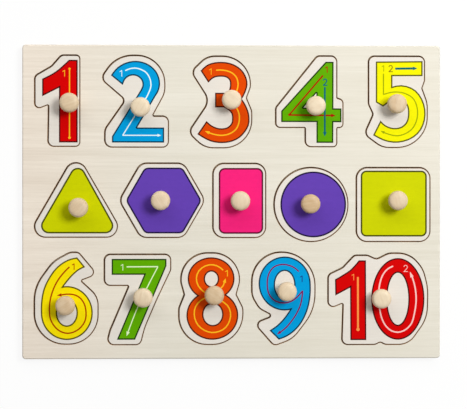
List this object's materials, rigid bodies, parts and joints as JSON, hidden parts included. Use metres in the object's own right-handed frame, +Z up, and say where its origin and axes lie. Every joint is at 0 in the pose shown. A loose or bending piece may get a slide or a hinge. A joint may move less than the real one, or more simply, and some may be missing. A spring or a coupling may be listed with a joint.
{
  "type": "peg puzzle",
  "caption": "Flat wooden peg puzzle: a plywood tray with numeral and shape pieces that lift out of fitted recesses by turned pegs.",
  "frame": {"origin": "middle of the tray's underside, which is the face it lies on", "axes": "+X along the tray, from the first numeral of a row to its last; +Y from the bottom row to the top row; +Z up out of the printed face"},
  "size_m": [0.3, 0.225, 0.022],
  "materials": {
    "sheet_wood": "pale plywood face, sanded, matt clear coat",
    "backing_wood": "pale plywood, bare",
    "peg_wood": "turned pale hardwood, bare",
    "print_red": "pale plywood with a satin red print on its face",
    "print_blue": "pale plywood with a satin blue print on its face",
    "print_orange": "pale plywood with a satin orange print on its face",
    "print_green": "pale plywood with a satin green print on its face",
    "print_yellow": "pale plywood with a satin yellow print on its face",
    "print_lime": "pale plywood with a satin lime print on its face",
    "print_purple": "pale plywood with a satin purple print on its face",
    "print_pink": "pale plywood with a satin pink print on its face",
    "print_gold": "pale plywood with a satin gold print on its face"
  },
  "bodies": {
    "tray": {"backing_board": "backing_wood", "frame_board": "sheet_wood"},
    "lift_1": {"piece_1": "print_red", "peg_1": "peg_wood"},
    "lift_2": {"piece_2": "print_blue", "peg_2": "peg_wood"},
    "lift_3": {"piece_3": "print_orange", "peg_3": "peg_wood"},
    "lift_4": {"piece_4": "print_green", "peg_4": "peg_wood"},
    "lift_5": {"piece_5": "print_yellow", "peg_5": "peg_wood"},
    "lift_triangle": {"piece_triangle": "print_lime", "peg_triangle": "peg_wood"},
    "lift_hexagon": {"piece_hexagon": "print_purple", "peg_hexagon": "peg_wood"},
    "lift_rectangle": {"piece_rectangle": "print_pink", "peg_rectangle": "peg_wood"},
    "lift_circle": {"piece_circle": "print_purple", "peg_circle": "peg_wood"},
    "lift_square": {"piece_square": "print_lime", "peg_square": "peg_wood"},
    "lift_6": {"piece_6": "print_gold", "peg_6": "peg_wood"},
    "lift_7": {"piece_7": "print_green", "peg_7": "peg_wood"},
    "lift_8": {"piece_8": "print_orange", "peg_8": "peg_wood"},
    "lift_9": {"piece_9": "print_blue", "peg_9": "peg_wood"},
    "lift_10": {"piece_10": "print_red", "peg_10": "peg_wood"}
  },
  "joints": [
    {"name": "lift_out_1", "type": "slide", "parent": "tray", "child": "lift_1", "axis": [0, 0, 1], "range_m": [0, 0.03]},
    {"name": "lift_out_2", "type": "slide", "parent": "tray", "child": "lift_2", "axis": [0, 0, 1], "range_m": [0, 0.03]},
    {"name": "lift_out_3", "type": "slide", "parent": "tray", "child": "lift_3", "axis": [0, 0, 1], "range_m": [0, 0.03]},
    {"name": "lift_out_4", "type": "slide", "parent": "tray", "child": "lift_4", "axis": [0, 0, 1], "range_m": [0, 0.03]},
    {"name": "lift_out_5", "type": "slide", "parent": "tray", "child": "lift_5", "axis": [0, 0, 1], "range_m": [0, 0.03]},
    {"name": "lift_out_triangle", "type": "slide", "parent": "tray", "child": "lift_triangle", "axis": [0, 0, 1], "range_m": [0, 0.03]},
    {"name": "lift_out_hexagon", "type": "slide", "parent": "tray", "child": "lift_hexagon", "axis": [0, 0, 1], "range_m": [0, 0.03]},
    {"name": "lift_out_rectangle", "type": "slide", "parent": "tray", "child": "lift_rectangle", "axis": [0, 0, 1], "range_m": [0, 0.03]},
    {"name": "lift_out_circle", "type": "slide", "parent": "tray", "child": "lift_circle", "axis": [0, 0, 1], "range_m": [0, 0.03]},
    {"name": "lift_out_square", "type": "slide", "parent": "tray", "child": "lift_square", "axis": [0, 0, 1], "range_m": [0, 0.03]},
    {"name": "lift_out_6", "type": "slide", "parent": "tray", "child": "lift_6", "axis": [0, 0, 1], "range_m": [0, 0.03]},
    {"name": "lift_out_7", "type": "slide", "parent": "tray", "child": "lift_7", "axis": [0, 0, 1], "range_m": [0, 0.03]},
    {"name": "lift_out_8", "type": "slide", "parent": "tray", "child": "lift_8", "axis": [0, 0, 1], "range_m": [0, 0.03]},
    {"name": "lift_out_9", "type": "slide", "parent": "tray", "child": "lift_9", "axis": [0, 0, 1], "range_m": [0, 0.03]},
    {"name": "lift_out_10", "type": "slide", "parent": "tray", "child": "lift_10", "axis": [0, 0, 1], "range_m": [0, 0.03]}
  ]
}
